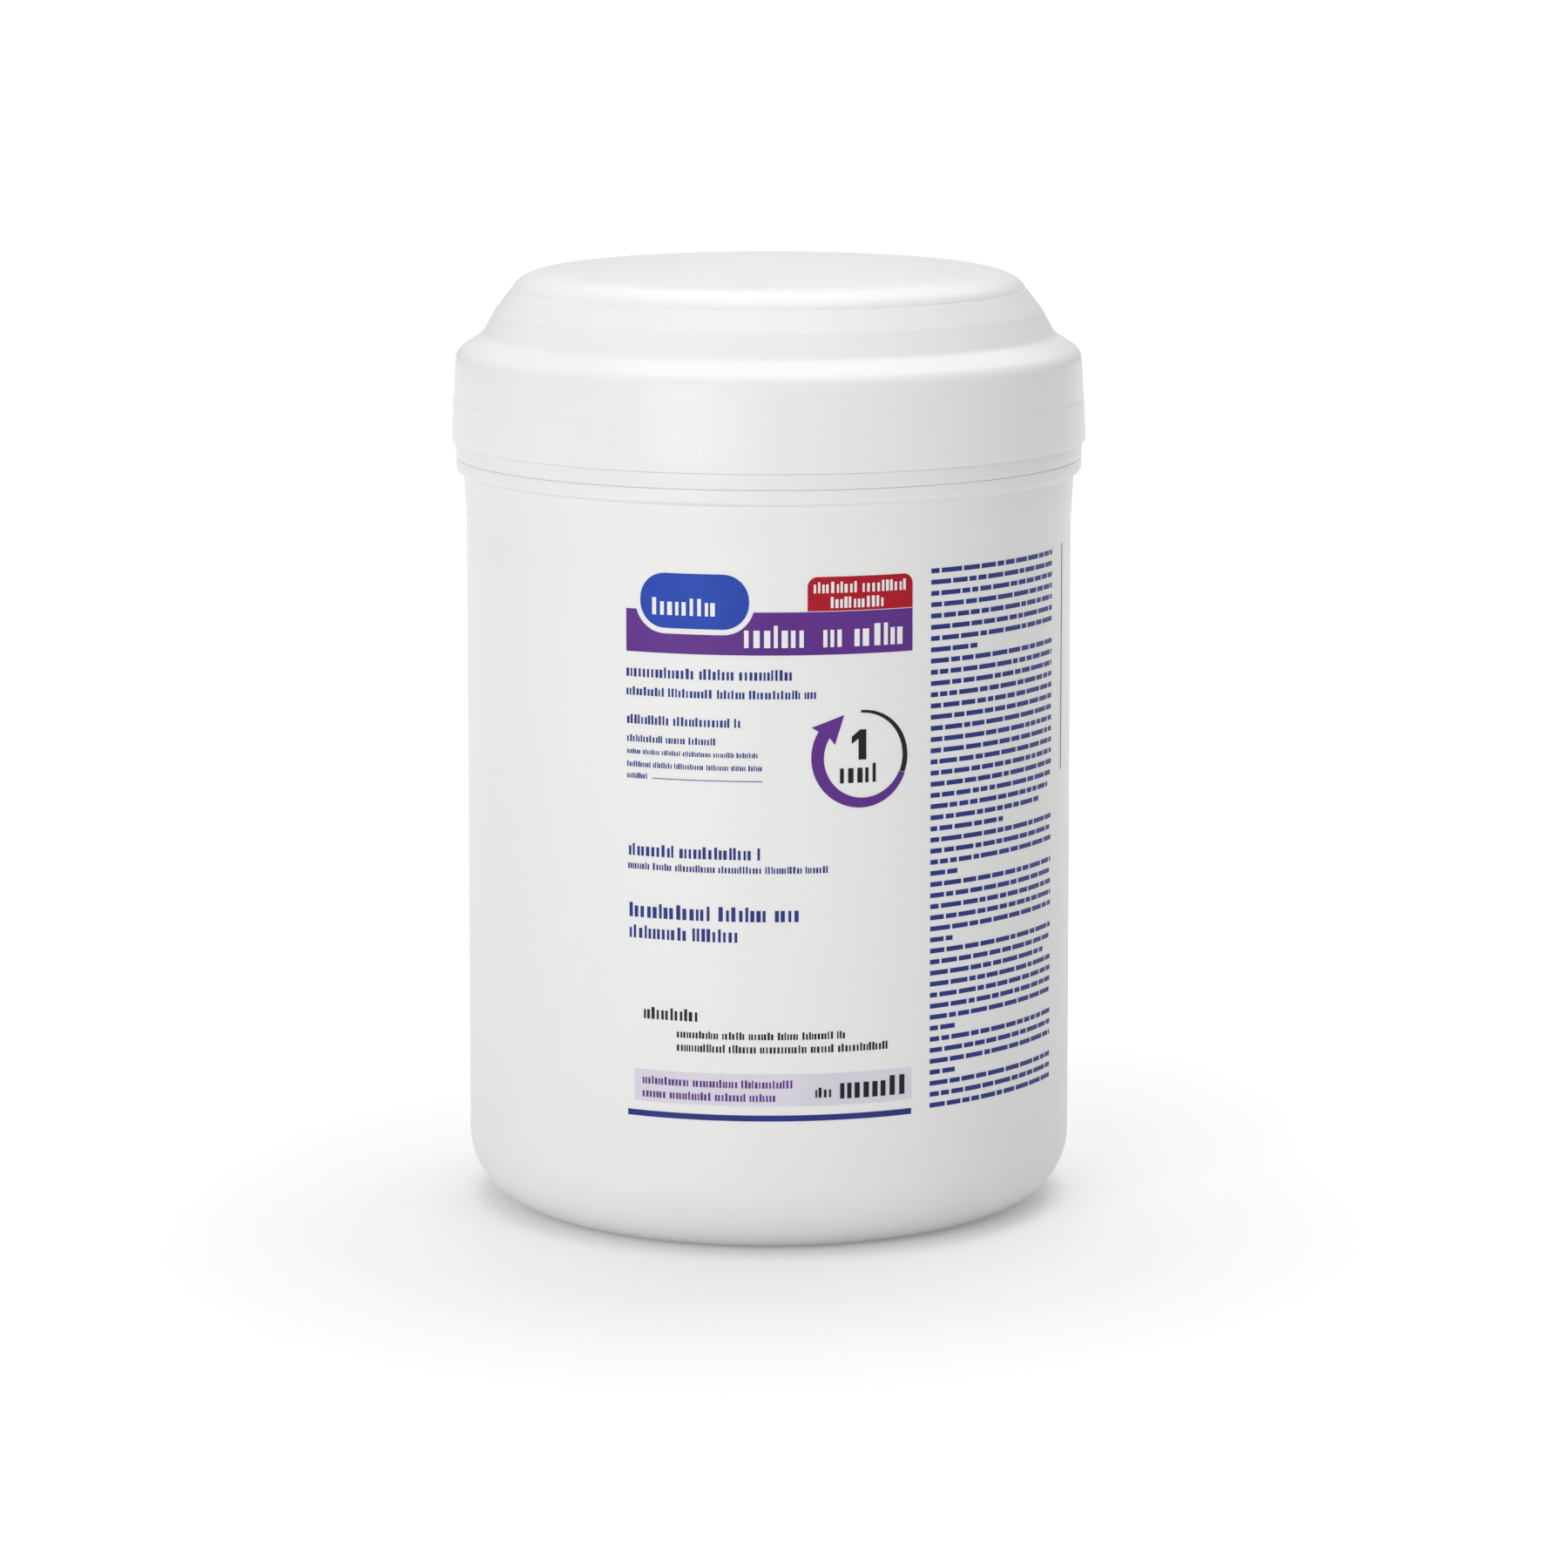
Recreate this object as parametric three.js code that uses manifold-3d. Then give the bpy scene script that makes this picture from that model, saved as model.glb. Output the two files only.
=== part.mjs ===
// A round canister for wet wipes: a threaded tub, a screw-on lid base with a dispensing nozzle,
// a domed flip cover on a living hinge, a sealing ring and a coreless roll of wipes.
// Millimetres, +Z up, the front faces -Y. The origin is the centre of the base, on the ground.

import * as THREE from 'three';
import { mergeVertices } from 'three/addons/utils/BufferGeometryUtils.js';
import Module from 'manifold-3d';

// Segments round every turned piece
const SEGMENTS = 48;

// Clearance between pieces that touch on the real object
const SEAT_GAP = 0.3;

// Tub
const NECK_RADIUS = 59.4;
const NECK_WALL = 1.8;
const NECK_HEIGHT = 15.4;
const BEAD_OUT = 1.5;
const BEAD_HEIGHT = 3.2;
const BEAD_ROUND = 0.6;
const BEAD_IN_FROM_BAND = 0.1;
const BODY_HEIGHT = 151.4;
const BODY_WALL = 1.6;
const PANEL_SINK = 0.5;
const PANEL_DRAFT = 0.2;
const PANEL_EASE = 9.5;
const FOOT_ROUND = 13.8;
const FLOOR_THICKNESS = 1.8;
const BASE_RECESS_DEPTH = 2.4;
const BASE_RING_WIDTH = 4.5;
const BASE_RECESS_SLOPE = 3;

// Thread of the neck and of the lid base
const THREAD_PITCH = 4;
const THREAD_TURNS = 1.25;
const NECK_THREAD_HEIGHT = 0.9;
const LID_THREAD_HEIGHT = 1.1;
const THREAD_CLEARANCE = 0.6;
const THREAD_ROOT_WIDTH = 2;
const THREAD_CREST_WIDTH = 1;
const THREAD_BELOW_RIM = 4;
const THREAD_RUN_OUT = 0.06;
const THREAD_SINK = 0.4;

// Lid base
const RING_WALL = 2;
const RING_TAPER = 1;
const BAND_HEIGHT = 2.9;
const BAND_IN = 0.75;
const DECK_THICKNESS = 1.5;
const SEAL_THICKNESS = 0.9;
const PLUG_CLEARANCE = 0.4;
const PLUG_WALL = 1;
const PLUG_DEPTH = 5.5;
const WELL_RADIUS = 27;
const WELL_SLOPE = 5;
const WELL_DEPTH = 6;
const NOZZLE_RADIUS = 9.5;
const NOZZLE_HEIGHT = 5;
const NOZZLE_TOP_RADIUS = 5.4;
const NOZZLE_WALL = 0.9;
const NOZZLE_HOLE_RADIUS = 3.6;
const NOZZLE_SLITS = 3;
const SLIT_WIDTH = 0.9;
const SLIT_REACH = 8;

// Cover
const COVER_CLEARANCE = 0.45;
const COVER_WALL = 1.6;
const SKIRT_HEIGHT = 16;
const SKIRT_DRAFT = 0.85;
const SHOULDER_SWEEP = 60;
const SHOULDER_ROUND = 2.6;
const SHOULDER_RUN = 3.3;
const SHOULDER_RISE = 4;
const HOLLOW_RUN = 1.9;
const HOLLOW_RISE = 1.4;
const LOWER_CONE_RUN = 3.1;
const LOWER_CONE_RISE = 5;
const UPPER_CONE_RUN = 3.5;
const UPPER_CONE_RISE = 4.5;
const TOP_ROUND_RUN = 4.4;
const TOP_ROUND_RISE = 3.1;
const TOP_ROUND_POWER = 1.6;
const CROWN_RISE = 2.4;
const COLLAR_RADIUS = 16;
const COLLAR_WALL = 1.3;

// Living hinge at the back
const HINGE_WIDTH = 26;
const HINGE_PAD_IN = 1.6;
const HINGE_LAND_IN = 0.45;
const HINGE_WEB = 0.45;
const HINGE_NOTCH = 0.55;
const HINGE_PAD_HEIGHT = 3.5;

// Roll of wipes
const ROLL_CLEARANCE = 1.1;
const ROLL_HEADROOM = 10.5;
const ROLL_BORE_RADIUS = 15;
const ROLL_EDGE = 1.2;
const ROLL_TURNS_SHOWN = 5;
const ROLL_RINGS_A_TURN = 3;
const ROLL_TURN_RISE = 0.7;

// Print on the tub: widths run along the wall from the front centre, and heights
// run down from the top of the panel or up from the top of the round foot
const INK_THICKNESS = 0.3;
const PRINT_LEFT = -29;
const PRINT_RIGHT = 29.6;
const PRINT_TOP_MARGIN = 4;
const BADGE_WIDTH = 22.2;
const BADGE_HEIGHT = 10.9;
const BADGE_ROUND = 5.2;
const BADGE_INSET = 3.1;
const BADGE_HALO = 1.1;
const BAND_PRINT_HEIGHT = 8.5;
const BAND_BELOW_BADGE = 5;
const TAB_WIDTH = 21.8;
const TAB_HEIGHT = 7;
const TAB_ROUND = 2;
const PRINT_SEAM = 0.3;
const TIMER_BELOW_BAND = 20.8;
const TIMER_INSET = 11.4;
const TIMER_RADIUS = 8.9;
const TIMER_WIDTH = 2;
const TIMER_HEAD = 4.6;
const TIMER_START = 140;
const TIMER_END = 430;
const RULE_ABOVE_FOOT = 14.7;
const RULE_HEIGHT = 1.2;
const BOX_ABOVE_RULE = 1.9;
const BOX_HEIGHT = 6.4;
const BOX_INSET = 1.5;

// Heights that follow
const beadTop = BODY_HEIGHT + BEAD_HEIGHT;
const neckTop = beadTop + NECK_HEIGHT;
const neckThreadFoot = neckTop - THREAD_BELOW_RIM - THREAD_TURNS * THREAD_PITCH;
const bandFoot = beadTop + SEAT_GAP;
const bandTop = bandFoot + BAND_HEIGHT;
const coverFoot = bandTop + SEAT_GAP;
const sealFoot = neckTop + SEAT_GAP;
const deckUnder = sealFoot + SEAL_THICKNESS + SEAT_GAP;
const deckTop = deckUnder + DECK_THICKNESS;
const wellFloor = deckTop - WELL_DEPTH;
const floorTop = BASE_RECESS_DEPTH + FLOOR_THICKNESS;
const rollFoot = floorTop + SEAT_GAP;
const rollTop = wellFloor - ROLL_HEADROOM;

// Radii that follow, from the neck outwards and inwards
const neckInner = NECK_RADIUS - NECK_WALL;
const ringInner = NECK_RADIUS + NECK_THREAD_HEIGHT + THREAD_CLEARANCE;
const ringOuter = ringInner + RING_WALL;
const ringTop = ringOuter - RING_TAPER;
const coverInner = ringOuter + COVER_CLEARANCE;
const coverOuter = coverInner + COVER_WALL;
const bandRadius = coverOuter - BAND_IN;
const beadRadius = bandRadius - BEAD_IN_FROM_BAND;
const bodyTopRadius = beadRadius - BEAD_OUT;
const panelTopRadius = bodyTopRadius - PANEL_SINK;
const panelFootRadius = panelTopRadius + PANEL_DRAFT;
const panelTop = BODY_HEIGHT - PANEL_EASE;
const footRadius = panelFootRadius - FOOT_ROUND;
const badgeTop = panelTop - PRINT_TOP_MARGIN;
const badgeFoot = badgeTop - BADGE_HEIGHT;
const badgeLeft = PRINT_LEFT + BADGE_INSET;
const bandPrintFoot = badgeFoot - BAND_BELOW_BADGE;
const bandPrintTop = bandPrintFoot + BAND_PRINT_HEIGHT;
const ruleFoot = FOOT_ROUND + RULE_ABOVE_FOOT;
const boxFoot = ruleFoot + RULE_HEIGHT + BOX_ABOVE_RULE;
const innerFootRound = FOOT_ROUND - BODY_WALL;
const plugOuter = neckInner - PLUG_CLEARANCE;
const plugInner = plugOuter - PLUG_WALL;
const rollRadius = neckInner - ROLL_CLEARANCE;

const wasm = await Module();
wasm.setup();

// A closed geometry as a solid for joining and cutting
function toSolid(geometry) {
  const bare = geometry.clone();
  bare.deleteAttribute('normal');
  bare.deleteAttribute('uv');
  const merged = mergeVertices(bare, 1e-4);
  return new wasm.Manifold(new wasm.Mesh({
    numProp: 3,
    vertProperties: new Float32Array(merged.attributes.position.array),
    triVerts: new Uint32Array(merged.index.array),
  }));
}

// A solid back as a flat-shaded geometry
function toGeometry(solid) {
  const mesh = solid.getMesh();
  const geometry = new THREE.BufferGeometry();
  geometry.setAttribute('position', new THREE.BufferAttribute(mesh.vertProperties, 3));
  geometry.setIndex(new THREE.BufferAttribute(mesh.triVerts, 1));
  geometry.computeVertexNormals();
  return geometry;
}

// A turned shape from [radius, height] points that start and end on the axis or close on themselves
function turned(points) {
  const profile = points.map(([radius, height]) => new THREE.Vector2(radius, height));
  const geometry = new THREE.LatheGeometry(profile, SEGMENTS);
  geometry.rotateX(Math.PI / 2);
  return geometry;
}

// Points of an arc about a centre, from one angle to another in degrees
function arc(centreRadius, centreHeight, radius, from, to, steps) {
  const points = [];
  for (let i = 0; i <= steps; i += 1) {
    const angle = THREE.MathUtils.degToRad(from + ((to - from) * i) / steps);
    points.push([centreRadius + radius * Math.cos(angle), centreHeight + radius * Math.sin(angle)]);
  }
  return points;
}

// The same open outline moved sideways by a distance, towards the axis and down
function offsetInwards(points, distance) {
  return points.map(([radius, height], i) => {
    const before = points[Math.max(i - 1, 0)];
    const after = points[Math.min(i + 1, points.length - 1)];
    const run = after[0] - before[0];
    const rise = after[1] - before[1];
    const length = Math.hypot(run, rise);
    return [Math.max(radius - (rise / length) * distance, 0), height + (run / length) * distance];
  });
}

function block(width, depth, height, x, y, z) {
  const geometry = new THREE.BoxGeometry(width, depth, height);
  geometry.translate(x, y, z);
  return toSolid(geometry);
}

// A helical ridge of trapezium section, right-handed, with its crest run out at both ends
function threadRidge(root, crest, startHeight) {
  const steps = Math.round(SEGMENTS * THREAD_TURNS);
  const positions = [];
  const triangles = [];
  for (let i = 0; i <= steps; i += 1) {
    const share = i / steps;
    const angle = share * THREAD_TURNS * 2 * Math.PI;
    const height = startHeight + share * THREAD_TURNS * THREAD_PITCH;
    const full = Math.min(share, 1 - share, THREAD_RUN_OUT) / THREAD_RUN_OUT;
    const top = root + (crest - root) * (0.4 + 0.6 * full);
    const sink = root - Math.sign(crest - root) * THREAD_SINK;
    const section = [
      [sink, -THREAD_ROOT_WIDTH / 2],
      [top, -THREAD_CREST_WIDTH / 2],
      [top, THREAD_CREST_WIDTH / 2],
      [sink, THREAD_ROOT_WIDTH / 2],
    ];
    for (const [radius, up] of section) {
      positions.push(radius * Math.cos(angle), radius * Math.sin(angle), height + up);
    }
  }
  for (let i = 0; i < steps; i += 1) {
    for (let side = 0; side < 4; side += 1) {
      const a = i * 4 + side;
      const b = i * 4 + ((side + 1) % 4);
      triangles.push(a, a + 4, b, b, a + 4, b + 4);
    }
  }
  const last = steps * 4;
  triangles.push(0, 1, 2, 0, 2, 3, last, last + 2, last + 1, last, last + 3, last + 2);
  if (crest < root) {
    for (let i = 0; i < triangles.length; i += 3) {
      [triangles[i], triangles[i + 1]] = [triangles[i + 1], triangles[i]];
    }
  }
  const geometry = new THREE.BufferGeometry();
  geometry.setAttribute('position', new THREE.Float32BufferAttribute(positions, 3));
  geometry.setIndex(triangles);
  return toSolid(geometry);
}

function makeTub() {
  const recessRadius = footRadius - BASE_RING_WIDTH;
  const innerBodyTop = bodyTopRadius - BODY_WALL;
  const outline = [
    [0, BASE_RECESS_DEPTH],
    [recessRadius - BASE_RECESS_SLOPE, BASE_RECESS_DEPTH],
    [recessRadius, 0],
    ...arc(footRadius, FOOT_ROUND, FOOT_ROUND, -90, 0, 7),
    [panelTopRadius, panelTop],
    [bodyTopRadius, BODY_HEIGHT - BEAD_HEIGHT / 2],
    [bodyTopRadius, BODY_HEIGHT],
    [beadRadius - BEAD_ROUND, BODY_HEIGHT],
    [beadRadius, BODY_HEIGHT + BEAD_ROUND],
    [beadRadius, beadTop],
    [NECK_RADIUS, beadTop],
    [NECK_RADIUS, neckTop - BEAD_ROUND],
    [NECK_RADIUS - BEAD_ROUND, neckTop],
    [neckInner, neckTop],
    [neckInner, beadTop],
    [innerBodyTop, BODY_HEIGHT - BEAD_HEIGHT],
    [panelTopRadius - BODY_WALL, panelTop - BEAD_HEIGHT],
    ...arc(footRadius, floorTop + innerFootRound, innerFootRound, 0, -90, 5),
    [0, floorTop],
  ];
  const thread = threadRidge(NECK_RADIUS, NECK_RADIUS + NECK_THREAD_HEIGHT, neckThreadFoot);
  return toGeometry(toSolid(turned(outline)).add(thread));
}

function makeLidBase() {
  const wellUnder = wellFloor - DECK_THICKNESS;
  const wellFoot = WELL_RADIUS - WELL_SLOPE;
  const nozzleTop = wellFloor + NOZZLE_HEIGHT;
  const outline = [
    [bandRadius, bandFoot],
    [bandRadius, bandTop],
    [ringOuter, bandTop],
    [ringTop, deckTop - DECK_THICKNESS / 2],
    [ringTop - DECK_THICKNESS / 2, deckTop],
    [WELL_RADIUS, deckTop],
    [wellFoot, wellFloor],
    [NOZZLE_RADIUS, wellFloor],
    [NOZZLE_TOP_RADIUS, nozzleTop - NOZZLE_WALL],
    [NOZZLE_HOLE_RADIUS, nozzleTop],
    [NOZZLE_HOLE_RADIUS, nozzleTop - NOZZLE_WALL * 2],
    [NOZZLE_RADIUS - NOZZLE_WALL, wellUnder],
    [wellFoot + DECK_THICKNESS / 2, wellUnder],
    [WELL_RADIUS + DECK_THICKNESS / 2, deckUnder],
    [plugInner, deckUnder],
    [plugInner, deckUnder - PLUG_DEPTH],
    [plugOuter - PLUG_WALL / 2, deckUnder - PLUG_DEPTH],
    [plugOuter, deckUnder - PLUG_DEPTH + PLUG_WALL],
    [plugOuter, deckUnder],
    [ringInner, deckUnder],
    [ringInner, bandFoot],
    [bandRadius, bandFoot],
  ];
  const lidThreadFoot = neckThreadFoot - THREAD_PITCH / 2;
  let solid = toSolid(turned(outline));
  solid = solid.add(threadRidge(ringInner, ringInner - LID_THREAD_HEIGHT, lidThreadFoot));
  for (let i = 0; i < NOZZLE_SLITS; i += 1) {
    const slit = new THREE.BoxGeometry(SLIT_REACH * 2, SLIT_WIDTH, WELL_DEPTH * 2);
    slit.rotateZ((Math.PI * i) / NOZZLE_SLITS);
    slit.translate(0, 0, wellFloor);
    solid = solid.subtract(toSolid(slit));
  }
  // The hinge's pad on the band, and the web's lip that stands on it
  const land = coverOuter - HINGE_LAND_IN;
  const padMiddle = land - HINGE_PAD_IN / 2;
  solid = solid.add(block(HINGE_WIDTH, HINGE_PAD_IN, BAND_HEIGHT, 0, padMiddle, bandFoot + BAND_HEIGHT / 2));
  const webTop = coverFoot + HINGE_NOTCH - SEAT_GAP;
  const webHeight = webTop - bandTop + BAND_HEIGHT / 2;
  const web = block(HINGE_WIDTH, HINGE_WEB, webHeight, 0, land - HINGE_WEB / 2, webTop - webHeight / 2);
  return toGeometry(solid.add(web));
}

// The outside of the cover from the skirt's foot to the centre of the top
function coverOutline() {
  const skirtTop = coverFoot + SKIRT_HEIGHT;
  const skirtRadius = coverOuter - SKIRT_DRAFT;
  const hollowFoot = [skirtRadius - SHOULDER_RUN, skirtTop + SHOULDER_RISE];
  const hollowTop = [hollowFoot[0] - HOLLOW_RUN, hollowFoot[1] + HOLLOW_RISE];
  const edge = [hollowTop[0] - LOWER_CONE_RUN, hollowTop[1] + LOWER_CONE_RISE];
  const topEdge = [edge[0] - UPPER_CONE_RUN, edge[1] + UPPER_CONE_RISE];
  const topRound = [];
  for (let i = 1; i <= 3; i += 1) {
    const share = i / 3;
    const rise = TOP_ROUND_RISE * (1 - (1 - share) ** TOP_ROUND_POWER);
    topRound.push([topEdge[0] - TOP_ROUND_RUN * share, topEdge[1] + rise]);
  }
  const crownEdge = topRound[topRound.length - 1];
  const crown = [];
  for (let i = 1; i <= 4; i += 1) {
    const share = 1 - i / 4;
    crown.push([crownEdge[0] * share, crownEdge[1] + CROWN_RISE * (1 - share * share)]);
  }
  return [
    [coverOuter, coverFoot],
    [skirtRadius, skirtTop],
    ...arc(skirtRadius - SHOULDER_ROUND, skirtTop, SHOULDER_ROUND, 0, SHOULDER_SWEEP, 3).slice(1),
    hollowFoot,
    hollowTop,
    edge,
    topEdge,
    ...topRound,
    ...crown,
  ];
}

function makeLidCover() {
  const outside = coverOutline();
  const inside = offsetInwards(outside, COVER_WALL);
  inside[0] = [coverInner, coverFoot];
  const ceiling = inside[inside.length - 1][1];
  const outline = [...outside, ...inside.reverse()];
  outline.push([coverOuter, coverFoot]);
  let solid = toSolid(turned(outline));
  // The collar closes on the well's floor round the nozzle
  const collarFoot = wellFloor + SEAT_GAP;
  const collarTop = ceiling + COVER_WALL * 0.4;
  const collar = turned([
    [COLLAR_RADIUS, collarFoot],
    [COLLAR_RADIUS, collarTop],
    [COLLAR_RADIUS - COLLAR_WALL, collarTop],
    [COLLAR_RADIUS - COLLAR_WALL, collarFoot],
    [COLLAR_RADIUS, collarFoot],
  ]);
  solid = solid.add(toSolid(collar));
  // The hinge's land: a flat pad on the skirt with a notch over the web
  const land = coverOuter - HINGE_LAND_IN;
  const padFoot = coverFoot + HINGE_NOTCH;
  const padDepth = land - coverInner + HINGE_PAD_IN;
  const pad = block(HINGE_WIDTH, padDepth, HINGE_PAD_HEIGHT, 0, land - padDepth / 2, padFoot + HINGE_PAD_HEIGHT / 2);
  const bore = toSolid(turned([
    [0, coverFoot],
    [coverInner, coverFoot],
    [coverInner, padFoot + HINGE_PAD_HEIGHT * 2],
    [0, padFoot + HINGE_PAD_HEIGHT * 2],
  ]));
  solid = solid.add(pad.subtract(bore));
  const flatHeight = (HINGE_NOTCH + HINGE_PAD_HEIGHT) * 2;
  const outsideDepth = HINGE_LAND_IN * 2;
  solid = solid.subtract(block(HINGE_WIDTH, outsideDepth, flatHeight, 0, land + outsideDepth / 2, coverFoot));
  const notchDepth = COVER_WALL * 3;
  solid = solid.subtract(block(HINGE_WIDTH, notchDepth, HINGE_NOTCH * 2, 0, land, coverFoot));
  return toGeometry(solid);
}

function makeSealingRing() {
  const inner = plugOuter + SEAT_GAP;
  const outer = ringInner - THREAD_CLEARANCE;
  return turned([
    [inner, sealFoot],
    [outer, sealFoot],
    [outer, sealFoot + SEAL_THICKNESS],
    [inner, sealFoot + SEAL_THICKNESS],
    [inner, sealFoot],
  ]);
}

// The roll's foot settles in the tub's round corner, and its top shows its turns as a spiral ridge
function makeWipesRoll() {
  const turnWidth = (rollRadius - ROLL_EDGE - ROLL_BORE_RADIUS) / ROLL_TURNS_SHOWN;
  const rings = ROLL_TURNS_SHOWN * ROLL_RINGS_A_TURN;
  const settle = Math.acos((rollRadius - footRadius) / innerFootRound);
  const outline = [
    [ROLL_BORE_RADIUS, rollFoot],
    ...arc(footRadius, rollFoot + innerFootRound, innerFootRound, -90, -THREE.MathUtils.radToDeg(settle), 4),
    [rollRadius, rollTop - ROLL_EDGE - ROLL_TURN_RISE],
  ];
  for (let i = rings; i >= 0; i -= 1) {
    outline.push([ROLL_BORE_RADIUS + (i * turnWidth) / ROLL_RINGS_A_TURN, rollTop - ROLL_TURN_RISE]);
  }
  outline.push([ROLL_BORE_RADIUS, rollFoot]);
  const geometry = turned(outline);
  const position = geometry.attributes.position;
  for (let i = 0; i < position.count; i += 1) {
    const x = position.getX(i);
    const y = position.getY(i);
    const radius = Math.hypot(x, y);
    if (position.getZ(i) > rollTop - ROLL_TURN_RISE - 0.01) {
      const turns = (radius - ROLL_BORE_RADIUS) / turnWidth - Math.atan2(y, x) / (2 * Math.PI);
      const ridge = 0.5 + 0.5 * Math.cos(turns * 2 * Math.PI);
      position.setZ(i, rollTop - ROLL_TURN_RISE * (1 - ridge));
    }
  }
  geometry.computeVertexNormals();
  return geometry;
}

// A flat outline in [along the wall, height] wrapped on the tub's front as a thin shell
function printed(shape) {
  const inkInner = panelFootRadius + SEAT_GAP;
  const inkOuter = inkInner + INK_THICKNESS;
  const points = shape.getPoints(6);
  const wrapped = points.map((point) => new THREE.Vector2(inkOuter * Math.sin(point.x / inkOuter), point.y));
  const prism = new THREE.ExtrudeGeometry(new THREE.Shape(wrapped), { depth: inkOuter, bevelEnabled: false });
  // The prism runs from the axis plane out to the front
  prism.rotateX(Math.PI / 2);
  const shell = turned([
    [inkInner, FOOT_ROUND],
    [inkOuter, FOOT_ROUND],
    [inkOuter, panelTop],
    [inkInner, panelTop],
    [inkInner, FOOT_ROUND],
  ]);
  return toGeometry(toSolid(shell).intersect(toSolid(prism)));
}

// A rectangle with its corners rounded at the top, and at the foot if asked
function panelShape(left, right, foot, top, round, roundFoot) {
  const low = roundFoot ? round : 0;
  const shape = new THREE.Shape();
  shape.moveTo(left + low, foot);
  shape.lineTo(right - low, foot);
  if (low > 0) shape.absarc(right - low, foot + low, low, -Math.PI / 2, 0, false);
  shape.lineTo(right, top - round);
  if (round > 0) shape.absarc(right - round, top - round, round, 0, Math.PI / 2, false);
  shape.lineTo(left + round, top);
  if (round > 0) shape.absarc(left + round, top - round, round, Math.PI / 2, Math.PI, false);
  shape.lineTo(left, foot + low);
  if (low > 0) shape.absarc(left + low, foot + low, low, Math.PI, 1.5 * Math.PI, false);
  return shape;
}

function makeBadge() {
  return printed(panelShape(badgeLeft, badgeLeft + BADGE_WIDTH, badgeFoot, badgeTop, BADGE_ROUND, true));
}

// The band leaves a white edge round the badge, which stands proud of the band's top
function makeBandPrint() {
  const round = BADGE_ROUND + BADGE_HALO;
  const middle = badgeFoot - BADGE_HALO + round;
  const depth = THREE.MathUtils.clamp((middle - bandPrintTop) / round, 0, 1);
  const reach = Math.acos(depth);
  const shape = new THREE.Shape();
  shape.moveTo(PRINT_LEFT, bandPrintFoot);
  shape.lineTo(PRINT_RIGHT, bandPrintFoot);
  shape.lineTo(PRINT_RIGHT, bandPrintTop);
  shape.absarc(badgeLeft + BADGE_WIDTH + BADGE_HALO - round, middle, round, reach - Math.PI / 2, -Math.PI / 2, true);
  shape.absarc(badgeLeft - BADGE_HALO + round, middle, round, -Math.PI / 2, -Math.PI / 2 - reach, true);
  shape.lineTo(PRINT_LEFT, bandPrintTop);
  return printed(shape);
}

function makeTabPrint() {
  const foot = bandPrintTop + PRINT_SEAM;
  return printed(panelShape(PRINT_RIGHT - TAB_WIDTH, PRINT_RIGHT, foot, foot + TAB_HEIGHT, TAB_ROUND, false));
}

function makeBoxPrint() {
  return printed(panelShape(PRINT_LEFT + BOX_INSET, PRINT_RIGHT, boxFoot, boxFoot + BOX_HEIGHT, 0, false));
}

function makeRulePrint() {
  return printed(panelShape(PRINT_LEFT, PRINT_RIGHT, ruleFoot, ruleFoot + RULE_HEIGHT, 0, false));
}

// A ring arrow: an open ring that runs clockwise into an arrowhead
function makeTimerPrint() {
  const across = PRINT_RIGHT - TIMER_INSET;
  const height = bandPrintFoot - TIMER_BELOW_BAND;
  const start = THREE.MathUtils.degToRad(TIMER_START);
  const end = THREE.MathUtils.degToRad(TIMER_END);
  const outer = TIMER_RADIUS + TIMER_WIDTH / 2;
  const inner = TIMER_RADIUS - TIMER_WIDTH / 2;
  const wing = TIMER_WIDTH / 2;
  const tip = start - TIMER_HEAD / TIMER_RADIUS;
  const shape = new THREE.Shape();
  shape.absarc(across, height, outer, start, end, false);
  shape.absarc(across, height, inner, end, start, true);
  shape.lineTo(across + (inner - wing) * Math.cos(start), height + (inner - wing) * Math.sin(start));
  shape.lineTo(across + TIMER_RADIUS * Math.cos(tip), height + TIMER_RADIUS * Math.sin(tip));
  shape.lineTo(across + (outer + wing) * Math.cos(start), height + (outer + wing) * Math.sin(start));
  return printed(shape);
}

function piece(name, geometry, color, roughness) {
  const mesh = new THREE.Mesh(geometry, new THREE.MeshStandardMaterial({ color, roughness, metalness: 0 }));
  mesh.name = name;
  return mesh;
}

const print = new THREE.Group();
print.add(
  piece('print_purple_band', makeBandPrint(), 0x5a2d82, 0.45),
  piece('print_blue_badge', makeBadge(), 0x1f6fb8, 0.45),
  piece('print_red_tab', makeTabPrint(), 0xc8324a, 0.45),
  piece('print_timer_ring', makeTimerPrint(), 0x5a2d82, 0.45),
  piece('print_lavender_box', makeBoxPrint(), 0xd6cbe4, 0.45),
  piece('print_blue_rule', makeRulePrint(), 0x2c4a92, 0.45),
);

const tub = new THREE.Group();
tub.add(
  piece('tub', makeTub(), 0xeeecea, 0.4),
  piece('wipes_roll', makeWipesRoll(), 0xf7f7f5, 0.9),
  print,
);

const lid = new THREE.Group();
lid.add(
  piece('sealing_ring', makeSealingRing(), 0xdfe3e6, 0.6),
  piece('lid_base', makeLidBase(), 0xf1f2f3, 0.4),
  piece('lid_cover', makeLidCover(), 0xf1f2f3, 0.4),
);

const canister = new THREE.Group();
canister.add(tub, lid);

export default canister;
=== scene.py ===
import math
import random

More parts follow.
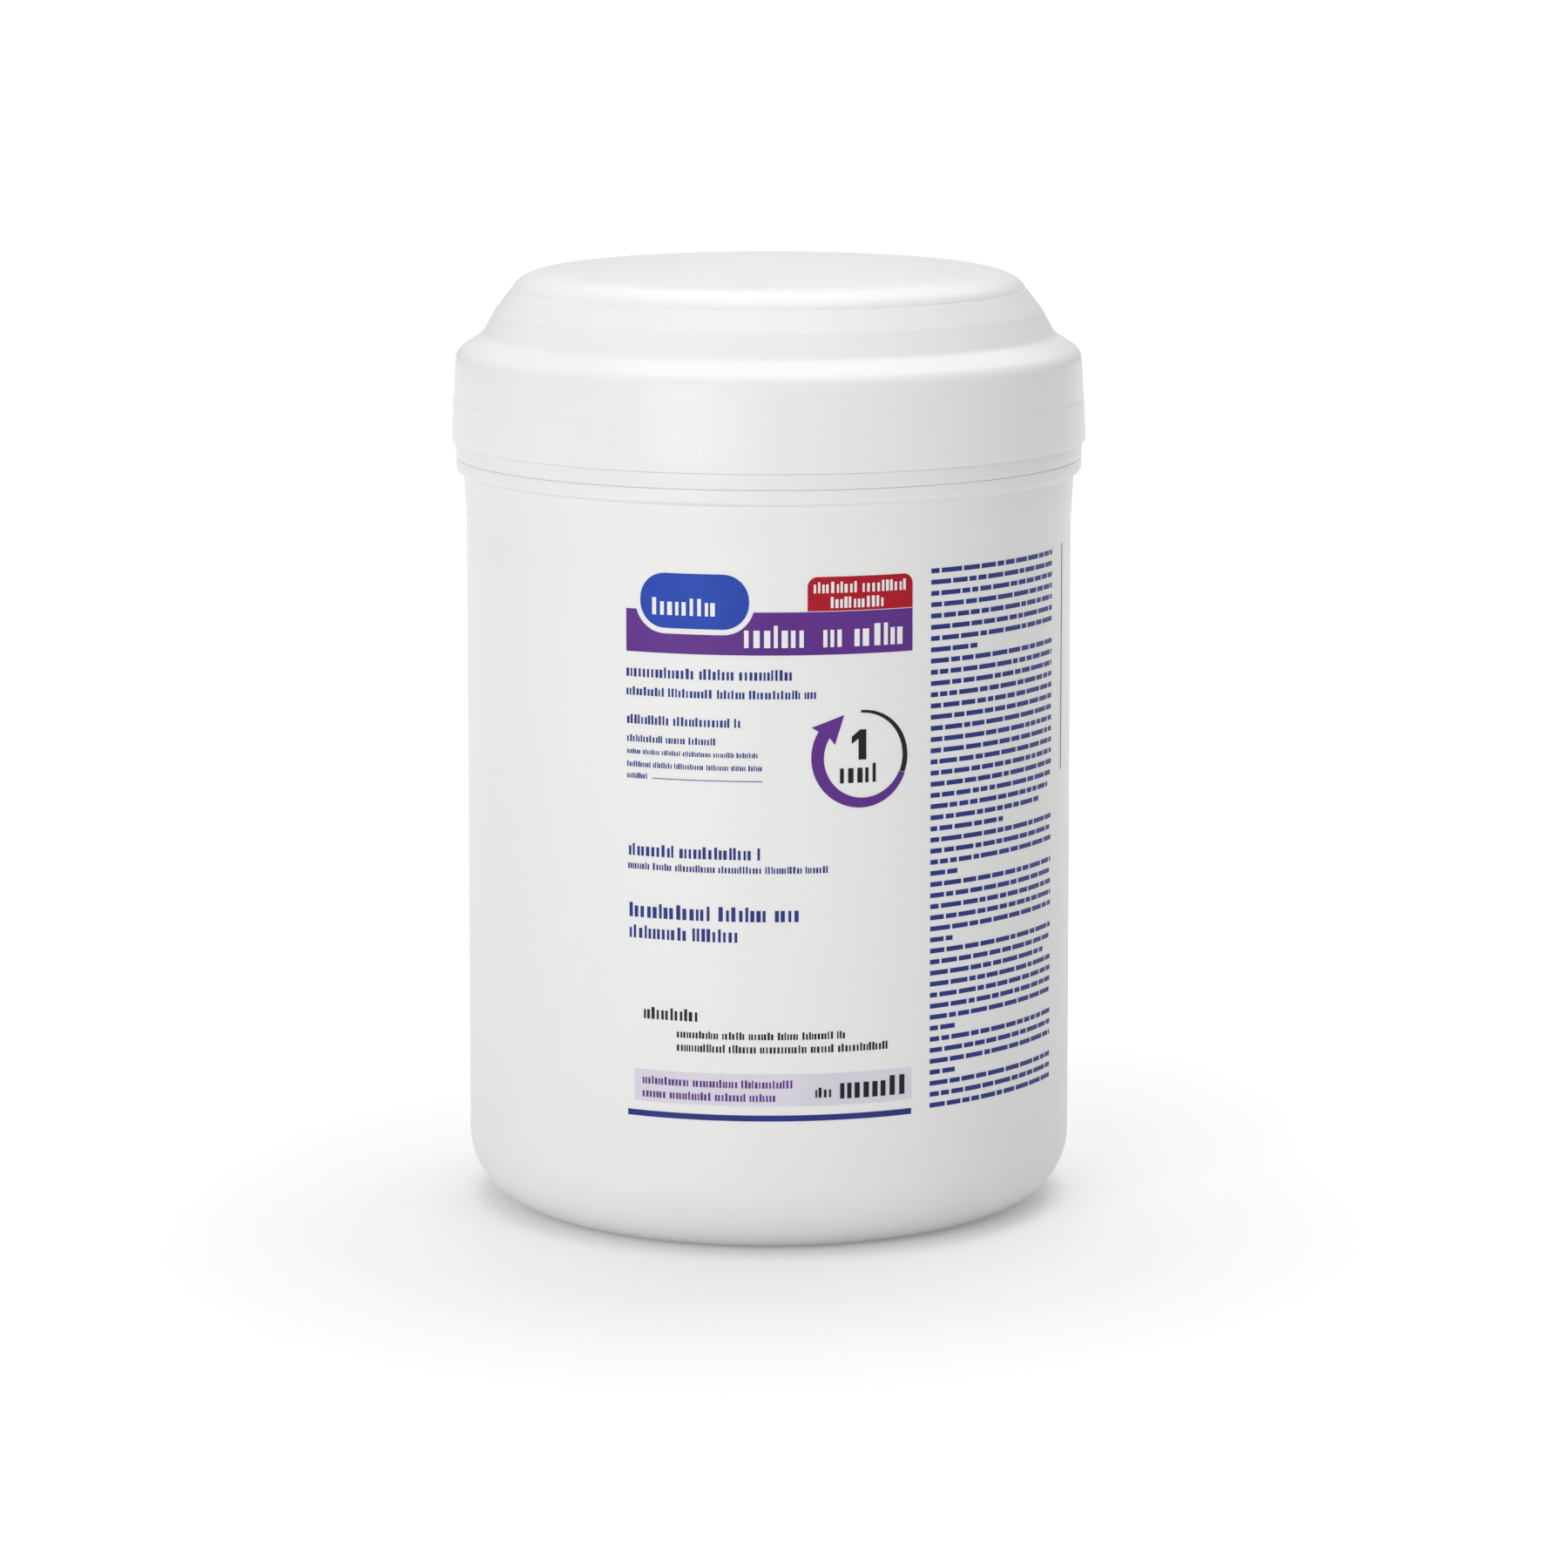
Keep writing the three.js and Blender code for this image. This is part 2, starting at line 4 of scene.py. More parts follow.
import bpy
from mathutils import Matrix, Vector


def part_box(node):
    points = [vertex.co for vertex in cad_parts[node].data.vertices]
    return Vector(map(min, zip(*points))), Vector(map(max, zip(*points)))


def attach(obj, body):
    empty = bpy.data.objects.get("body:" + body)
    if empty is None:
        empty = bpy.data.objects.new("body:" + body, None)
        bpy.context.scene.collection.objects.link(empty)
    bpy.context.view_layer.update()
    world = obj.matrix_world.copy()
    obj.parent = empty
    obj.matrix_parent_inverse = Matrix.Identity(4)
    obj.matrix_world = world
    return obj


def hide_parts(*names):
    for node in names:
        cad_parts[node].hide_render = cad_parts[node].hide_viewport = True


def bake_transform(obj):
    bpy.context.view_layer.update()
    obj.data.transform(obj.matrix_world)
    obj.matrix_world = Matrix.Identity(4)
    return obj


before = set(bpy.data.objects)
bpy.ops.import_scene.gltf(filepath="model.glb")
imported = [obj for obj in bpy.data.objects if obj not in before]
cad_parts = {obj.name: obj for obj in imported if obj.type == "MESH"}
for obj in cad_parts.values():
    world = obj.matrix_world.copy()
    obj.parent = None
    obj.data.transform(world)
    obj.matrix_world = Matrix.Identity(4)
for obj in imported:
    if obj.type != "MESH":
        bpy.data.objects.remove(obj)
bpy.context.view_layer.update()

MM = 0.001
TURN = 2 * math.pi
ROUND_STEPS = 240
SMOOTH_ANGLE = math.radians(32)


# Sizes of the pieces in millimetres, read from the frame where a node gives them

def node_span(node):
    low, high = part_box(node)
    return [value / MM for value in low], [value / MM for value in high]


tub_high = node_span("tub")[1]
base_low, base_high = node_span("lid_base")
cover_low, cover_high = node_span("lid_cover")
seal_low, seal_high = node_span("sealing_ring")
roll_low, roll_high = node_span("wipes_roll")

SEAT_GAP = 0.3
BEAD_HEIGHT = 3.2
BEAD_OUT = 1.5
PANEL_SINK = 0.5
PANEL_DRAFT = 0.2
SHOULDER_HEIGHT = 9.5
FOOT_ROUND = 13.8
BODY_WALL = 1.6
LID_WALL = 1.5
COVER_WALL = 1.6
WELL_DEPTH = 6
NECK_RADIUS = 59.4
NECK_INNER = 57.6
RING_INNER = 60.9
RING_OUTER = 62.9
COVER_INNER = 63.35
HINGE_WIDTH = 26
HINGE_SINK = 0.45
THREAD_PITCH = 4
THREAD_TURNS = 1.25
THREAD_BELOW_RIM = 4
ROLL_BORE = 15
# Each side of a seam grows by this much, which leaves the fine line that the photograph shows
SEAM_FILL = 0.13
# Height of the fine line round the cover's skirt
SKIRT_BREAK = 166.6

NECK_TOP = tub_high[2]
BAND_FOOT = base_low[2]
BEAD_TOP = BAND_FOOT - SEAT_GAP
BEAD_FOOT = BEAD_TOP - BEAD_HEIGHT
COVER_FOOT = cover_low[2]
BAND_TOP = COVER_FOOT - SEAT_GAP
DECK_TOP = base_high[2]
DECK_UNDER = DECK_TOP - LID_WALL
WELL_FLOOR = DECK_TOP - WELL_DEPTH
COVER_TOP = cover_high[2]
COVER_RADIUS = cover_high[0]
BAND_RADIUS = base_high[0]
BEAD_RADIUS = tub_high[0]
BODY_TOP_RADIUS = BEAD_RADIUS - BEAD_OUT
PANEL_TOP_RADIUS = BODY_TOP_RADIUS - PANEL_SINK
PANEL_FOOT_RADIUS = PANEL_TOP_RADIUS + PANEL_DRAFT
PANEL_TOP = BEAD_FOOT - SHOULDER_HEIGHT
FOOT_RADIUS = PANEL_FOOT_RADIUS - FOOT_ROUND
HINGE_LAND = COVER_RADIUS - HINGE_SINK
NECK_THREAD_FOOT = NECK_TOP - THREAD_BELOW_RIM - THREAD_TURNS * THREAD_PITCH


# Working with the mesh operators

def deselect():
    bpy.ops.object.select_all(action="DESELECT")


def named(name):
    piece = bpy.context.object
    piece.name = name
    piece.data.name = name
    return piece


def only(piece):
    deselect()
    piece.select_set(True)
    bpy.context.view_layer.objects.active = piece


def reshape(piece, place):
    for vertex in piece.data.vertices:
        vertex.co = Vector(place(*vertex.co))
    piece.data.update()


def clean(piece, merge=0.002 * MM):
    only(piece)
    bpy.ops.object.mode_set(mode="EDIT")
    bpy.ops.mesh.select_all(action="SELECT")
    bpy.ops.mesh.remove_doubles(threshold=merge)
    bpy.ops.mesh.normals_make_consistent(inside=False)
    bpy.ops.object.mode_set(mode="OBJECT")


def smooth(piece, angle=SMOOTH_ANGLE):
    only(piece)
    bpy.ops.object.shade_smooth_by_angle(angle=angle)


def apply_modifier(piece, kind, **settings):
    only(piece)
    modifier = piece.modifiers.new(kind.title(), kind)
    for key, value in settings.items():
        setattr(modifier, key, value)
    bpy.ops.object.modifier_apply(modifier=modifier.name)


def joined(name, pieces):
    deselect()
    for piece in pieces:
        piece.select_set(True)
    bpy.context.view_layer.objects.active = pieces[0]
    bpy.ops.object.join()
    return named(name)


def cut(piece, cutter):
    apply_modifier(piece, "BOOLEAN", operation="DIFFERENCE", solver="EXACT", object=cutter)
    bpy.data.objects.remove(cutter, do_unlink=True)


def block(name, size, centre, bevel=0.0):
    """A box of size and centre in millimetres, its edges rounded where asked."""
    deselect()
    bpy.ops.mesh.primitive_cube_add(size=1)
    piece = named(name)
    reshape(piece, lambda x, y, z: [(c * s + m) * MM for c, s, m in zip((x, y, z), size, centre)])
    if bevel:
        apply_modifier(piece, "BEVEL", width=bevel * MM, segments=3, limit_method="ANGLE")
    return piece


def rounded(corners, steps=5):
    """Corner points (radius, height, round) as an outline, each corner between the ends made an arc."""
    outline = []
    count = len(corners)
    for i, (radius, height, *extra) in enumerate(corners):
        here = Vector((radius, height))
        size = extra[0] if extra else 0
        if not size or i in (0, count - 1):
            outline.append(here)
            continue
        back = Vector(corners[i - 1][:2]) - here
        ahead = Vector(corners[i + 1][:2]) - here
        half = back.angle(ahead) / 2
        reach = min(size / math.tan(half), back.length * 0.49, ahead.length * 0.49)
        start = here + back.normalized() * reach
        end = here + ahead.normalized() * reach
        for step in range(steps + 1):
            share = step / steps
            outline.append((1 - share) ** 2 * start + 2 * share * (1 - share) * here + share ** 2 * end)
    return outline


def turned(name, outline, closed=False, steps=ROUND_STEPS):
    """An outline of (radius, height) extruded point by point and spun about the axis."""
    deselect()
    bpy.ops.mesh.primitive_plane_add(size=MM)
    bpy.ops.object.mode_set(mode="EDIT")
    bpy.ops.mesh.merge(type="CENTER")
    bpy.ops.transform.translate(value=(outline[0][0] * MM, 0, outline[0][1] * MM))
    here = Vector(outline[0])
    for point in list(outline[1:]) + ([outline[0]] if closed else []):
        step = (Vector(point) - here) * MM
        bpy.ops.mesh.extrude_region_move(TRANSFORM_OT_translate={"value": (step.x, 0, step.y)})
        here = Vector(point)
    bpy.ops.mesh.select_all(action="SELECT")
    bpy.ops.mesh.spin(steps=steps, angle=TURN, center=(0, 0, 0), axis=(0, 0, 1))
    bpy.ops.object.mode_set(mode="OBJECT")
    piece = named(name)
    clean(piece)
    smooth(piece)
    return piece


def thread_ridge(name, root, crest, foot):
    """A bar bent into a right-handed helix, its height run out at both ends."""
    # The bar's section, each row an offset along the axis in millimetres and a share of the ridge's height
    section = [(-1.0, -0.35), (-0.95, 0), (-0.5, 1), (0.5, 1), (0.95, 0), (1.0, -0.35), (-1.0, -0.35)]
    rows = len(section) - 1
    run_out = 0.05
    deselect()
    bpy.ops.mesh.primitive_grid_add(x_subdivisions=160, y_subdivisions=rows, size=1)
    piece = named(name)

    def along_helix(x, y, z):
        share = x + 0.5
        offset, height = section[round((y + 0.5) * rows)]
        if height > 0:
            full = min(share, 1 - share, run_out) / run_out
            height *= 0.25 + 0.75 * math.sin(full * math.pi / 2)
        radius = root + (crest - root) * height
        angle = share * THREAD_TURNS * TURN
        up = foot + share * THREAD_TURNS * THREAD_PITCH + offset
        return (radius * math.cos(angle) * MM, radius * math.sin(angle) * MM, up * MM)

    reshape(piece, along_helix)
    clean(piece)
    bpy.ops.object.mode_set(mode="EDIT")
    bpy.ops.mesh.select_all(action="SELECT")
    bpy.ops.mesh.fill_holes(sides=8)
    bpy.ops.mesh.normals_make_consistent(inside=False)
    bpy.ops.object.mode_set(mode="OBJECT")
    return piece


# Pieces of the canister

def wall_radius(height):
    """The print panel's radius at a height, both in millimetres."""
    share = (height - FOOT_ROUND) / (PANEL_TOP - FOOT_ROUND)
    return PANEL_FOOT_RADIUS + (PANEL_TOP_RADIUS - PANEL_FOOT_RADIUS) * share


def make_tub():
    """One blow-moulded body: recessed base, round foot, panel, transfer bead and threaded neck."""
    recess = FOOT_RADIUS - 4.5
    recess_height = 2.4
    floor = 4.2
    arc_steps = 18
    outline = rounded([
        (0, recess_height),
        (recess - 3, recess_height, 2.5),
        (recess - 0.4, 0.1, 0.8),
        (FOOT_RADIUS + 1, 0),
    ])
    for step in range(arc_steps + 1):
        angle = -math.pi / 2 + (math.pi / 2) * step / arc_steps
        point = (FOOT_RADIUS + FOOT_ROUND * math.cos(angle), FOOT_ROUND + FOOT_ROUND * math.sin(angle))
        if point[0] > FOOT_RADIUS + 1.2:
            outline.append(Vector(point))
    outline += rounded([
        (PANEL_FOOT_RADIUS, FOOT_ROUND + 0.5),
        (PANEL_TOP_RADIUS, PANEL_TOP, 30),
        (BODY_TOP_RADIUS, BEAD_FOOT - 1, 6),
        (BODY_TOP_RADIUS, BEAD_FOOT, 0.35),
        (BEAD_RADIUS, BEAD_FOOT + 0.5, 0.9),
        (BEAD_RADIUS, BEAD_TOP + SEAM_FILL, 0.2),
        (NECK_RADIUS, BEAD_TOP + SEAM_FILL, 0.5),
        (NECK_RADIUS, NECK_TOP, 0.7),
        (NECK_INNER, NECK_TOP, 0.7),
        (NECK_INNER, BEAD_TOP, 3),
        (BODY_TOP_RADIUS - BODY_WALL, BEAD_FOOT - 4, 3),
        (PANEL_FOOT_RADIUS - BODY_WALL, FOOT_ROUND + 40),
    ])
    inner_round = FOOT_ROUND - BODY_WALL
    for step in range(arc_steps + 1):
        angle = -(math.pi / 2) * step / arc_steps
        outline.append(Vector((
            FOOT_RADIUS + inner_round * math.cos(angle),
            floor + inner_round + inner_round * math.sin(angle),
        )))
    outline.append(Vector((0, floor)))
    body = turned("tub_body", outline)
    ridge = thread_ridge("tub_thread", NECK_RADIUS, NECK_RADIUS + 0.9, NECK_THREAD_FOOT)
    piece = joined("tub_shell", [body, ridge])
    smooth(piece)
    return piece


def make_lid_base():
    """One injection moulding: band, threaded wall, deck with its sunken well, slit nozzle and plug seal."""
    well_under = WELL_FLOOR - LID_WALL
    plug_inner = 56.2
    plug_outer = 57.2
    # It ends where it begins, so that every corner is rounded, and the last point is then dropped
    outline = rounded([
        (BAND_RADIUS, BAND_FOOT + 1),
        (BAND_RADIUS, BAND_TOP + SEAM_FILL, 0.25),
        (RING_OUTER, BAND_TOP + SEAM_FILL, 0.5),
        (RING_OUTER - 1, DECK_TOP, 1.3),
        (54, DECK_TOP, 0.6),
        (53.4, DECK_TOP - 0.5, 0.6),
        (29, DECK_TOP - 0.5, 0.5),
        (28.6, DECK_TOP, 0.4),
        (27, DECK_TOP, 1.6),
        (22, WELL_FLOOR, 1.8),
        (9.9, WELL_FLOOR, 1.2),
        (8, WELL_FLOOR + 1.9),
        (7.4, WELL_FLOOR + 1.2),
        (8.6, well_under, 1),
        (22.7, well_under, 1.8),
        (27.8, DECK_UNDER, 1.6),
        (plug_inner, DECK_UNDER, 0.6),
        (plug_inner, DECK_UNDER - 5.5, 0.4),
        (plug_outer - 0.4, DECK_UNDER - 5.5, 0.4),
        (plug_outer, DECK_UNDER - 4, 1),
        (plug_outer, DECK_UNDER),
        (RING_INNER, DECK_UNDER),
        (RING_INNER, BAND_FOOT - SEAM_FILL, 0.4),
        (BAND_RADIUS, BAND_FOOT - SEAM_FILL, 0.2),
        (BAND_RADIUS, BAND_FOOT + 1),
    ])
    body = turned("base_body", outline[:-1], closed=True)
    # The lid's ridge runs half a turn's rise below the neck's, in the groove between its turns
    ridge = thread_ridge("base_thread", RING_INNER, RING_INNER - 1.1, NECK_THREAD_FOOT - THREAD_PITCH / 2)
    pad_depth = 1.6
    pad_size = (HINGE_WIDTH, pad_depth, BAND_TOP - BAND_FOOT)
    pad = block("base_pad", pad_size, (0, HINGE_LAND - pad_depth / 2, (BAND_TOP + BAND_FOOT) / 2), 0.3)
    piece = joined("lid_base_moulding", [body, ridge, pad, make_nozzle()])
    smooth(piece)
    return piece


def make_nozzle():
    """The nozzle's crown, cut by slits into petals that spring open as a wipe passes."""
    slits = 3
    crown = turned("nozzle_crown", rounded([
        (8.3, WELL_FLOOR + 1.3),
        (8.05, WELL_FLOOR + 1.9, 0.3),
        (5.6, WELL_FLOOR + 4.4, 1.2),
        (3.6, WELL_FLOOR + 4.9, 0.3),
        (3.6, WELL_FLOOR + 4.1, 0.3),
        (5, WELL_FLOOR + 3.5, 1),
        (7.2, WELL_FLOOR + 1.2),
    ]), closed=True, steps=96)
    for i in range(slits):
        slit = block("nozzle_slit", (17.5, 0.8, 9), (0, 0, WELL_FLOOR + 4.5))
        angle = math.pi * i / slits
        reshape(slit, lambda x, y, z: (
            x * math.cos(angle) - y * math.sin(angle),
            x * math.sin(angle) + y * math.cos(angle),
            z,
        ))
        cut(crown, slit)
    return crown


def cover_outside():
    """The dome's outside from the skirt's foot to the centre of its top."""
    skirt_top = COVER_FOOT + 16
    skirt_radius = COVER_RADIUS - 0.85
    shoulder = (skirt_radius - 3.3, skirt_top + 4)
    hollow = (shoulder[0] - 1.9, shoulder[1] + 1.4)
    edge = (hollow[0] - 3.1, hollow[1] + 5)
    top_edge = (edge[0] - 3.5, edge[1] + 4.5)
    crown_edge = (top_edge[0] - 4.4, top_edge[1] + 3.1)
    crown_rise = COVER_TOP - crown_edge[1]
    corners = [
        (COVER_RADIUS - 0.5, COVER_FOOT - SEAM_FILL),
        (COVER_RADIUS, COVER_FOOT - SEAM_FILL, 0.25),
        (COVER_RADIUS, COVER_FOOT + 1.4, 0.8),
        (skirt_radius + 0.5, SKIRT_BREAK - 0.2, 0.2),
        (skirt_radius + 0.42, SKIRT_BREAK + 0.2, 0.2),
        (skirt_radius + 0.2, skirt_top - 3.1, 0),
        (skirt_radius - 0.12, skirt_top + 2, 3.8),
        (shoulder[0] - 0.3, shoulder[1] + 0.2, 0),
        (hollow[0] - 0.3, hollow[1], 3.2),
        (edge[0], edge[1], 0.8),
        (top_edge[0] + 0.24, top_edge[1] - 0.3),
        (top_edge[0] - 0.02, top_edge[1] - 0.22),
        (top_edge[0], top_edge[1]),
    ]
    outline = rounded(corners, steps=7)
    bend_steps = 12
    crown_start = 44.4
    crown_steps = 24

    def crown(radius):
        return Vector((radius, crown_edge[1] + crown_rise * (1 - (radius / crown_edge[0]) ** 2)))

    # A fine step marks the top's edge, and the top rounds over from it in one curve
    begin = Vector(top_edge)
    bend = Vector((top_edge[0] - 1.4, top_edge[1] + 2.75))
    end = crown(crown_start)
    for step in range(1, bend_steps + 1):
        share = step / bend_steps
        outline.append((1 - share) ** 2 * begin + 2 * share * (1 - share) * bend + share ** 2 * end)
    for step in range(1, crown_steps + 1):
        outline.append(crown(crown_start * (1 - step / crown_steps)))
    return outline


def make_cover():
    """The domed flip cover, with a collar inside that closes on the well round the nozzle."""
    outside = cover_outside()
    # The inside follows the outside at the wall's thickness, from above the skirt's foot to the axis
    inside = []
    first = next(i for i, point in enumerate(outside) if point.y > COVER_FOOT + 2)
    for i, point in enumerate(outside[first:], start=first):
        before = outside[i - 1]
        after = outside[min(i + 1, len(outside) - 1)]
        along = (after - before).normalized()
        moved = point + Vector((-along.y, along.x)) * COVER_WALL
        if moved.x < 0:
            moved.x = 0
        if not inside or moved.x < inside[-1].x:
            inside.append(moved)
    inside[-1].x = 0
    foot = [
        Vector((COVER_INNER + 0.4, COVER_FOOT - SEAM_FILL)),
        Vector((COVER_INNER, COVER_FOOT - SEAM_FILL + 0.4)),
    ]
    body = turned("cover_body", outside[::-1] + foot + inside)
    collar_outer = 16
    collar_inner = 14.7
    collar_foot = WELL_FLOOR + SEAT_GAP
    collar = turned("cover_collar", rounded([
        (collar_outer, COVER_TOP - 1),
        (collar_outer, collar_foot, 0.5),
        (collar_inner, collar_foot, 0.5),
        (collar_inner, COVER_TOP - 1),
    ]), closed=True, steps=120)
    # The flat land that the hinge lies on, and the notch below it that the strap bends in
    land_depth = COVER_RADIUS - HINGE_LAND + 1
    land_centre = (0, HINGE_LAND + land_depth / 2, COVER_FOOT + 1.55)
    cut(body, block("land_cut", (HINGE_WIDTH, land_depth, 5), land_centre))
    cut(body, block("notch_cut", (HINGE_WIDTH, 4, 2), (0, HINGE_LAND, COVER_FOOT - 0.45)))
    pad = block("cover_pad", (HINGE_WIDTH, 1.1, 3.8), (0, HINGE_LAND - 0.56, COVER_FOOT + 2.55), 0.25)
    piece = joined("lid_cover_moulding", [body, collar, pad])
    smooth(piece)
    return piece


def make_hinge_web():
    """The thin moulded strap of the hinge, bowed slightly between the band and the cover."""
    deselect()
    bpy.ops.mesh.primitive_grid_add(x_subdivisions=24, y_subdivisions=14, size=1)
    web = named("hinge_web")
    foot = BAND_TOP - 1.2
    top = COVER_FOOT + 2.2

    def strap(x, y, z):
        share = y + 0.5
        height = foot + (top - foot) * share
        bow = 0.28 * math.sin(math.pi * share) ** 2
        return (x * (HINGE_WIDTH - 1.2) * MM, (HINGE_LAND + 0.02 + bow) * MM, height * MM)

    reshape(web, strap)
    apply_modifier(web, "SOLIDIFY", thickness=0.35 * MM, offset=0)
    clean(web)
    smooth(web)
    return web


def make_sealing_ring():
    """The flat foam ring between the deck and the neck's rim."""
    inner = 57.5
    outer = seal_high[0]
    low = seal_low[2]
    high = seal_high[2]
    edge = 0.25
    return turned("sealing_gasket", rounded([
        (inner, low + 0.4),
        (inner, low, edge),
        (outer, low, edge),
        (outer, high, edge),
        (inner, high, edge),
        (inner, low + 0.4),
    ])[:-1], closed=True)


def make_roll():
    """The coreless roll: a spiral of folded edges above and below, and a soft outer wrap."""
    turns = 38
    samples = 6
    foot_steps = 6
    side_steps = 24
    radius = roll_high[0]
    low = roll_low[2]
    high = roll_high[2]
    # The roll's foot follows the round inside the tub's, up to where its side meets it
    inner_round = FOOT_ROUND - BODY_WALL
    settle = math.acos((radius - FOOT_RADIUS) / inner_round)
    outline = [Vector((ROLL_BORE + 0.1, low + 0.8)), Vector((ROLL_BORE + 0.8, low + 0.1))]
    for step in range(foot_steps + 1):
        angle = -math.pi / 2 + (math.pi / 2 - settle) * step / foot_steps
        outline.append(Vector((
            FOOT_RADIUS + inner_round * math.cos(angle),
            low + inner_round + inner_round * math.sin(angle),
        )))
    side_foot = outline[-1].y
    for step in range(1, side_steps):
        outline.append(Vector((radius - 0.1, side_foot + (high - 2 - side_foot) * step / side_steps)))
    count = turns * samples
    for step in range(count + 1):
        share = step / count
        outline.append(Vector((radius - 0.4 - (radius - ROLL_BORE - 0.8) * share, high - 0.5)))
    outline.append(Vector((ROLL_BORE + 0.1, high - 1.3)))
    roll = turned("wipes_roll_wound", outline, closed=True, steps=180)
    pitch = (radius - ROLL_BORE - 1.2) / turns

    def wound(x, y, z):
        across = math.hypot(x, y) / MM
        angle = math.atan2(y, x)
        height = z / MM
        if height > high - 0.6:
            phase = (across - ROLL_BORE) / pitch - angle / TURN
            ridge = abs(math.sin(math.pi * phase)) ** 0.7
            loose = 0.25 * math.sin(3 * angle + across * 0.7) + 0.2 * math.sin(7 * angle - across * 0.31)
            height = high - 1.15 + 0.85 * ridge + 0.3 * loose
        elif across > radius - 0.3 and low + 4 < height:
            dent = 0.22 * math.sin(5 * angle + height * 0.05) + 0.15 * math.sin(13 * angle - height * 0.11)
            across += dent - 0.35
        return (across * math.cos(angle) * MM, across * math.sin(angle) * MM, height * MM)

    reshape(roll, wound)
    smooth(roll, math.radians(50))
    return roll


# Print on the tub, drawn flat as (across, height) in millimetres and laid round the wall

INK_THICKNESS = 0.04


def lay_on_wall(piece, layer=0):
    """Gives a flat drawing its ink's thickness and bends it round the panel, over the layers below it."""
    apply_modifier(piece, "SOLIDIFY", thickness=INK_THICKNESS, offset=0)

    def wrapped(across, height, proud):
        radius = wall_radius(height) + INK_THICKNESS * (0.9 + layer) + proud
        angle = across / PANEL_FOOT_RADIUS
        return (radius * math.sin(angle) * MM, -radius * math.cos(angle) * MM, height * MM)

    reshape(piece, wrapped)
    only(piece)
    bpy.ops.object.mode_set(mode="EDIT")
    bpy.ops.mesh.select_all(action="SELECT")
    bpy.ops.mesh.normals_make_consistent(inside=False)
    bpy.ops.object.mode_set(mode="OBJECT")
    smooth(piece, math.radians(20))
    return piece


def drawn(name, points, slice_width=1.0):
    """A filled outline cut into upright slices narrow enough to follow the wall."""
    deselect()
    bpy.ops.mesh.primitive_circle_add(vertices=len(points), radius=1, fill_type="NGON")
    piece = named(name)
    for vertex, (across, height) in zip(piece.data.vertices, points):
        vertex.co = (across, height, 0)
    only(piece)
    bpy.ops.object.mode_set(mode="EDIT")
    bpy.ops.mesh.select_all(action="SELECT")
    bpy.ops.mesh.quads_convert_to_tris(ngon_method="BEAUTY")
    left = min(point[0] for point in points)
    right = max(point[0] for point in points)
    slices = int((right - left) / slice_width)
    for i in range(1, slices + 1):
        bpy.ops.mesh.select_all(action="SELECT")
        at = left + (right - left) * i / (slices + 1)
        bpy.ops.mesh.bisect(plane_co=(at, 0, 0), plane_no=(1, 0, 0))
    bpy.ops.object.mode_set(mode="OBJECT")
    return piece


def corner_arc(across, height, size, start, end, steps=8):
    points = []
    for step in range(steps + 1):
        angle = math.radians(start + (end - start) * step / steps)
        points.append((across + size * math.cos(angle), height + size * math.sin(angle)))
    return points


def panel(left, right, foot, top, size=0.0, low_size=0.0):
    """A rectangle with its upper corners, and its lower ones if asked, rounded."""
    points = corner_arc(right - low_size, foot + low_size, low_size, -90, 0) if low_size else [(right, foot)]
    points += corner_arc(right - size, top - size, size, 0, 90) if size else [(right, top)]
    points += corner_arc(left + size, top - size, size, 90, 180) if size else [(left, top)]
    points += corner_arc(left + low_size, foot + low_size, low_size, 180, 270) if low_size else [(left, foot)]
    return points


def band_with_notch(left, right, foot, top, badge, halo):
    """The band's outline, dipping round the badge with a white edge left between them."""
    badge_left, badge_right, badge_foot, size = badge
    size += halo
    middle = badge_foot - halo + size
    reach = math.degrees(math.acos((middle - top) / size))
    points = [(left, foot), (right, foot), (right, top)]
    points += corner_arc(badge_right + halo - size, middle, size, reach - 90, -90)
    points += corner_arc(badge_left - halo + size, middle, size, -90, -90 - reach)
    points.append((left, top))
    return points


def ring_arc(across, height, radius, widths, start, end):
    """An open ring from start to end in degrees, its width running from the first value to the second."""
    outer = []
    inner = []
    steps = 60
    for step in range(steps + 1):
        share = step / steps
        angle = math.radians(start + (end - start) * share)
        half = (widths[0] + (widths[1] - widths[0]) * share ** 1.6) / 2
        outer.append((across + (radius + half) * math.cos(angle), height + (radius + half) * math.sin(angle)))
        inner.append((across + (radius - half) * math.cos(angle), height + (radius - half) * math.sin(angle)))
    return outer + inner[::-1]


def ring_arrow(across, height, radius, widths, start, end, wing, head):
    """A ring arc that begins in an arrowhead of half width wing and length head."""
    base = math.radians(start)
    tip = base - head / radius
    swept = base + 0.1
    return ring_arc(across, height, radius, widths, start, end) + [
        (across + (radius - wing) * math.cos(swept), height + (radius - wing) * math.sin(swept)),
        (across + (radius + 0.2) * math.cos(tip), height + (radius + 0.2) * math.sin(tip)),
        (across + (radius + wing) * math.cos(base), height + (radius + wing) * math.sin(base)),
    ]


